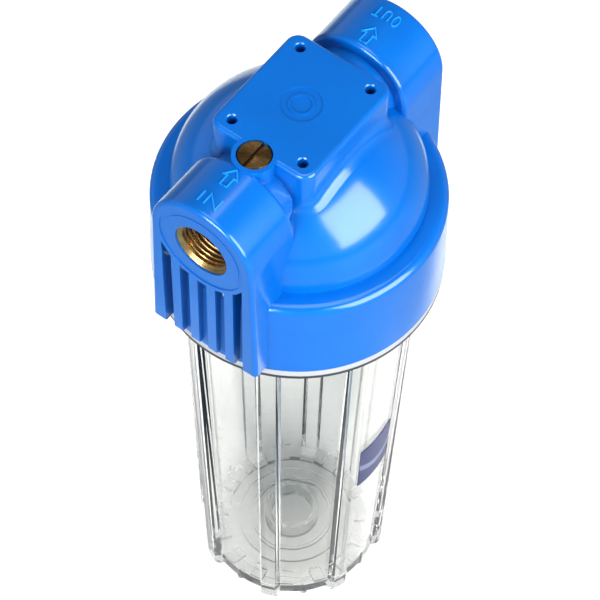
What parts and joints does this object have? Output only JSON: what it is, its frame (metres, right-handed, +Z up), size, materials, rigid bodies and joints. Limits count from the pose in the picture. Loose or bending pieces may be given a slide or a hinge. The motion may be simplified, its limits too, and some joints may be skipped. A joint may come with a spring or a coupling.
{
  "type": "cartridge filter housing",
  "caption": "Upright water filter housing: screw head with two opposed pipe ports and an air vent, on a long clear ribbed bowl.",
  "frame": {"origin": "on the bowl's axis, at the level its feet stand on", "axes": "+Z up along the bowl's axis, +X towards the outlet port, -X towards the inlet port"},
  "size_m": [0.1156, 0.112, 0.312],
  "materials": {
    "blue_plastic": "moulded, glossy",
    "clear_plastic": "clear, glossy",
    "brass": "machined",
    "seal_rubber": "smooth moulded rubber",
    "label_film": "printed film"
  },
  "bodies": {
    "head": {"head": "blue_plastic", "inlet_insert": "brass", "outlet_insert": "brass"},
    "bowl_seals": {"bowl_seal": "seal_rubber", "dust_seal": "seal_rubber"},
    "bowl": {"bowl": "clear_plastic", "label": "label_film"},
    "vent_seal": {"vent_seal": "seal_rubber"},
    "vent_screw": {"vent_screw": "brass"}
  },
  "joints": [
    {"name": "bowl_drop", "type": "slide", "parent": "head", "child": "bowl_seals", "axis": [0, 0, -1], "range_m": [0, 0.018]},
    {"name": "bowl_turn", "type": "hinge", "parent": "bowl_seals", "child": "bowl", "pos_m": [0, 0, 0.2], "axis": [0, 0, -1], "range_deg": [0, 1080]},
    {"name": "vent_rise", "type": "slide", "parent": "head", "child": "vent_seal", "axis": [0, 0, 1], "range_m": [0, 0.00313]},
    {"name": "vent_turn", "type": "hinge", "parent": "vent_seal", "child": "vent_screw", "pos_m": [-0.027, 0, 0.3], "axis": [0, 0, 1], "range_deg": [0, 900]}
  ],
  "couplings": [
    {"joint": "bowl_drop", "follows": "bowl_turn", "m_per_rad": 0.00095493},
    {"joint": "vent_rise", "follows": "vent_turn", "m_per_rad": 0.00019894}
  ]
}
